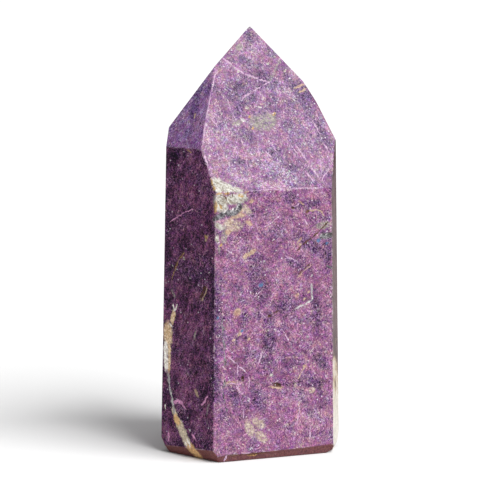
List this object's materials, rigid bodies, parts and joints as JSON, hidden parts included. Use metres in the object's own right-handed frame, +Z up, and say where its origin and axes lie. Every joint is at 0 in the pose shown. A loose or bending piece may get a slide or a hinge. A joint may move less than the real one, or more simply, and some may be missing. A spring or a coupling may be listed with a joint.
{
  "type": "purpurite specimen",
  "caption": "Free-standing tower of polished violet purpurite, a six-sided column with a faceted point and a bevelled flat foot.",
  "frame": {"origin": "on the surface it stands on, under the middle of its outline seen from above", "axes": "+Z up towards the tip; the widest front side faces -Y; +X to the right of someone facing that side"},
  "size_m": [0.0378, 0.0302, 0.0897],
  "materials": {
    "stone": "polished, satin, violet with dark and pale flecks, cream and brown veins"
  },
  "bodies": {
    "root": {"purpurite_tower": "stone"}
  },
  "joints": []
}
